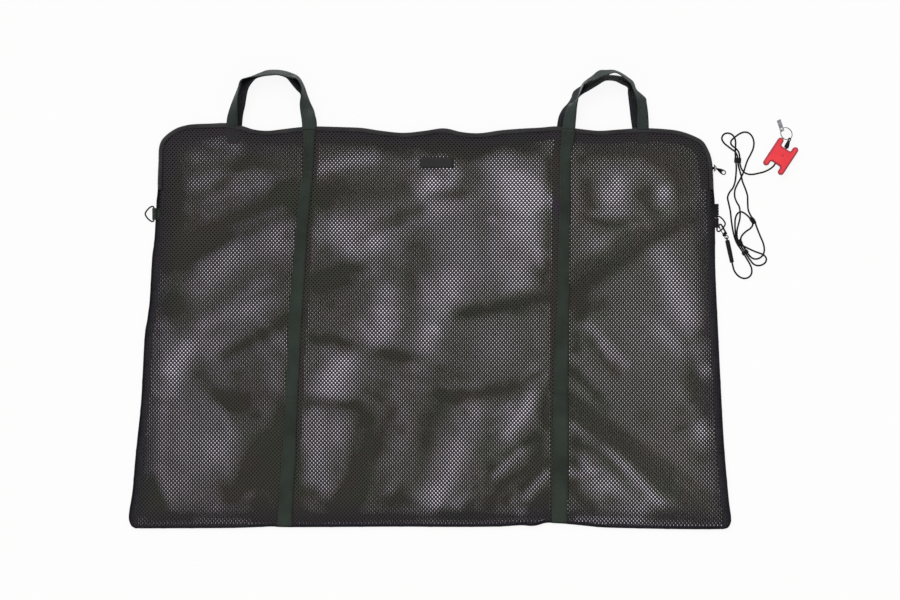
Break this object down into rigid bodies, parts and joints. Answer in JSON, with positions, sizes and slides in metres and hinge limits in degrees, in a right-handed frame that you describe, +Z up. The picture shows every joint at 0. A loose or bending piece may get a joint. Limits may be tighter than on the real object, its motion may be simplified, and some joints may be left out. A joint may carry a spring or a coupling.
{
  "type": "carp sack",
  "caption": "Flat rectangular mesh fish-retention sack with rounded zipped top corners, webbing straps and carry handles, and a clipped cord with a foam float.",
  "frame": {"origin": "centre of the box round the sack without its free cord and float, on the floor it lies on", "axes": "+X along the long zipped top edge from the left handle towards the corded end, +Y from the closed bottom edge towards the handles, +Z up out of the floor"},
  "size_m": [1.3377, 0.9182, 0.0302],
  "materials": {
    "mesh_fabric": "soft knitted mesh",
    "zip_tape": "close woven tape",
    "zip_coil": "moulded coil",
    "webbing": "dark green woven webbing",
    "label_weave": "plain woven label",
    "dark_metal": "black coated wire",
    "steel": "plated steel",
    "black_rubber": "moulded rubber",
    "cord_braid": "braided cord",
    "red_foam": "soft closed-cell foam"
  },
  "bodies": {
    "sack": {"back_panel": "mesh_fabric", "front_panel": "mesh_fabric", "zip_tape_back": "zip_tape", "zip_tape_front": "zip_tape", "seam_tape": "zip_tape", "zip_chain_back": "zip_coil", "zip_chain_front": "zip_coil", "strap_front_left": "webbing", "strap_front_right": "webbing", "strap_back_left": "webbing", "strap_back_right": "webbing", "handle_end_front_left": "webbing", "handle_end_front_right": "webbing", "handle_end_back_left": "webbing", "handle_end_back_right": "webbing", "ring_tab_left": "webbing", "ring_tab_right": "webbing", "zip_end_tab": "webbing", "label": "label_weave", "snap_swivel": "steel", "cord_sleeve": "black_rubber", "float_bead": "black_rubber", "hank_tie_upper": "black_rubber", "hank_tie_lower": "black_rubber", "cord_lead": "cord_braid", "cord_hank": "cord_braid", "cord_tail": "cord_braid", "float": "red_foam"},
    "handle_front_left": {"handle_front_left": "webbing"},
    "handle_front_right": {"handle_front_right": "webbing"},
    "handle_back_left": {"handle_back_left": "webbing"},
    "handle_back_right": {"handle_back_right": "webbing"},
    "ring_left": {"d_ring_left": "dark_metal"},
    "ring_right": {"d_ring_right": "dark_metal"},
    "slider": {"zip_slider": "dark_metal"},
    "puller": {"zip_puller": "dark_metal"},
    "snap": {"snap_hook": "steel"},
    "gate": {"snap_gate": "steel"},
    "split_ring_body": {"split_ring": "steel"},
    "tag_body": {"tag": "steel"}
  },
  "joints": [
    {"name": "handle_front_left_lift", "type": "hinge", "parent": "sack", "child": "handle_front_left", "pos_m": [-0.3175, 0.34, 0.0126], "axis": [1, 0, 0], "range_deg": [0, 90]},
    {"name": "handle_back_left_lift", "type": "hinge", "parent": "sack", "child": "handle_back_left", "pos_m": [-0.303, 0.3445, 0.0016], "axis": [1, 0, 0], "range_deg": [0, 81]},
    {"name": "handle_front_right_lift", "type": "hinge", "parent": "sack", "child": "handle_front_right", "pos_m": [0.352, 0.34, 0.0126], "axis": [1, 0, 0], "range_deg": [0, 90]},
    {"name": "handle_back_right_lift", "type": "hinge", "parent": "sack", "child": "handle_back_right", "pos_m": [0.338, 0.3445, 0.0016], "axis": [1, 0, 0], "range_deg": [0, 81]},
    {"name": "ring_left_swing", "type": "hinge", "parent": "sack", "child": "ring_left", "pos_m": [-0.55185, 0.1715, 0.0038], "axis": [0, 1, 0], "range_deg": [-4, 120]},
    {"name": "ring_right_swing", "type": "hinge", "parent": "sack", "child": "ring_right", "pos_m": [0.5737, 0.1515, 0.0038], "axis": [0, -1, 0], "range_deg": [-3, 4]},
    {"name": "slider_travel", "type": "hinge", "parent": "sack", "child": "slider", "pos_m": [0.487, 0.263, 0.0063], "axis": [0, 0, 1], "range_deg": [0, 80]},
    {"name": "puller_flip", "type": "hinge", "parent": "slider", "child": "puller", "pos_m": [0.5716, 0.263, 0.0063], "axis": [0, -1, 0], "range_deg": [-6, 100]},
    {"name": "snap_turn", "type": "hinge", "parent": "sack", "child": "snap", "pos_m": [0.59265, 0.12484, 0.00513], "axis": [-0.4924, 0.8529, 0.1737], "range_deg": [-4, 6]},
    {"name": "gate_open", "type": "hinge", "parent": "snap", "child": "gate", "pos_m": [0.58502, 0.13111, 0.01028], "axis": [-0.6738, -0.2472, -0.6964], "range_deg": [0, 10], "stiffness_Nm_per_rad": 0.01, "springref_deg": -17.19},
    {"name": "split_ring_lift", "type": "hinge", "parent": "sack", "child": "split_ring_body", "pos_m": [0.71795, 0.3204, 0.00849], "axis": [0.803, 0.3875, -0.4527], "range_deg": [0, 30]},
    {"name": "tag_swing", "type": "hinge", "parent": "split_ring_body", "child": "tag_body", "pos_m": [0.7026, 0.34028, 0.00897], "axis": [0.5672, 0.6928, -0.4455], "range_deg": [0, 20]}
  ],
  "couplings": [
    {"joint": "handle_back_left_lift", "follows": "handle_front_left_lift", "ratio": 0.9},
    {"joint": "handle_back_right_lift", "follows": "handle_front_right_lift", "ratio": 0.9}
  ]
}
